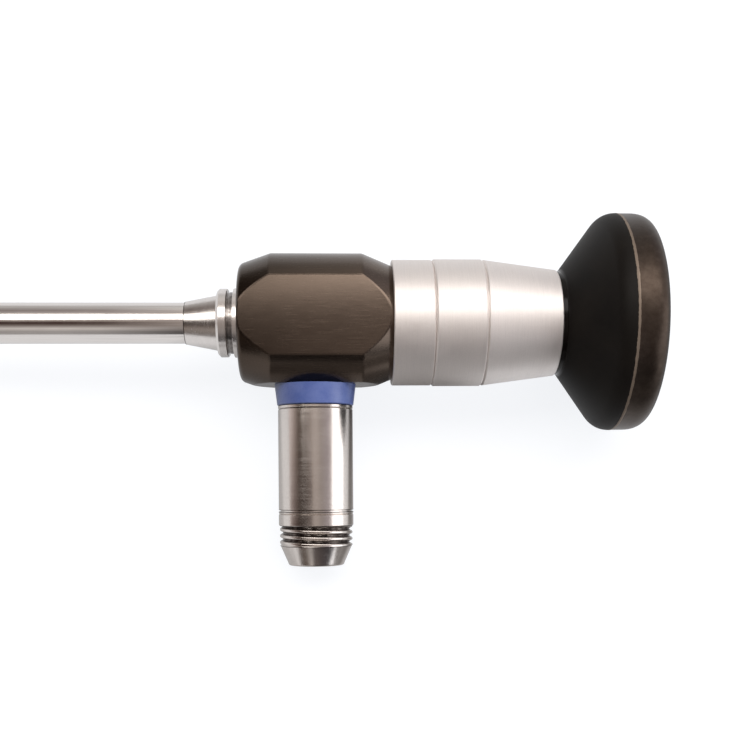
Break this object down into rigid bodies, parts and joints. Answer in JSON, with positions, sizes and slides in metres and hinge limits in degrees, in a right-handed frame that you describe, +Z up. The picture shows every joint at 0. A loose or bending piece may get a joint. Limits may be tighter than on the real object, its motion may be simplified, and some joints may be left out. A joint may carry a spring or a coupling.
{
  "type": "rigid endoscope",
  "caption": "Rigid endoscope with a straight steel shaft, dark metal body, side light post and flared eyepiece, lying at rest.",
  "frame": {"origin": "middle of the bounding box's base, on the surface that the scope lies on", "axes": "+X towards the eyepiece along the shaft, -Y towards the light post's side, +Z up from the table"},
  "size_m": [0.358, 0.0514, 0.0321],
  "materials": {
    "shaft_steel": "polished tube",
    "satin_steel": "fine satin",
    "post_steel": "turned and polished",
    "dark_metal": "brushed dark brown-black coating",
    "black_plastic": "matt black, worn brown at the rim",
    "blue_ring": "semi-gloss blue",
    "clear_glass": "clear, coated",
    "fibre": "polished fibre ends",
    "black_aluminium": "matt black anodised",
    "inner_steel": "as drawn",
    "seal_rubber": "matt"
  },
  "bodies": {
    "root": {"body_seal": "seal_rubber", "centring_screws": "inner_steel", "coupling_ring": "shaft_steel", "eyecup": "black_plastic", "eyepiece_window": "clear_glass", "field_stop": "black_aluminium", "housing_seal": "seal_rubber", "light_fibre_bundle": "fibre", "light_guide_tube": "inner_steel", "light_guide_window": "clear_glass", "light_post": "post_steel", "locking_ring": "satin_steel", "main_body": "dark_metal", "marking_ring": "satin_steel", "objective_barrel": "black_aluminium", "objective_front_lens": "clear_glass", "objective_rear_lens": "clear_glass", "objective_spacer": "black_aluminium", "ocular_barrel": "black_aluminium", "ocular_carrier": "inner_steel", "ocular_housing": "satin_steel", "ocular_lens_crown": "clear_glass", "ocular_lens_flint": "clear_glass", "ocular_retaining_ring": "black_aluminium", "ocular_spacer": "black_aluminium", "optic_tube": "inner_steel", "outer_sheath": "shaft_steel", "post_colour_ring": "blue_ring", "post_sleeve": "post_steel", "post_tip": "post_steel", "relay_spacer_1": "black_aluminium", "relay_spacer_2": "black_aluminium", "relay_spacer_3": "black_aluminium", "relay_spacer_4": "black_aluminium", "relay_spacer_5": "black_aluminium", "relay_spacer_6": "black_aluminium", "relay_spacer_7": "black_aluminium", "rod_lens_1": "clear_glass", "rod_lens_2": "clear_glass", "rod_lens_3": "clear_glass", "rod_lens_4": "clear_glass", "rod_lens_5": "clear_glass", "rod_lens_6": "clear_glass", "shaft_ferrule": "shaft_steel", "tip_window": "clear_glass", "window_mount": "inner_steel"}
  },
  "joints": []
}
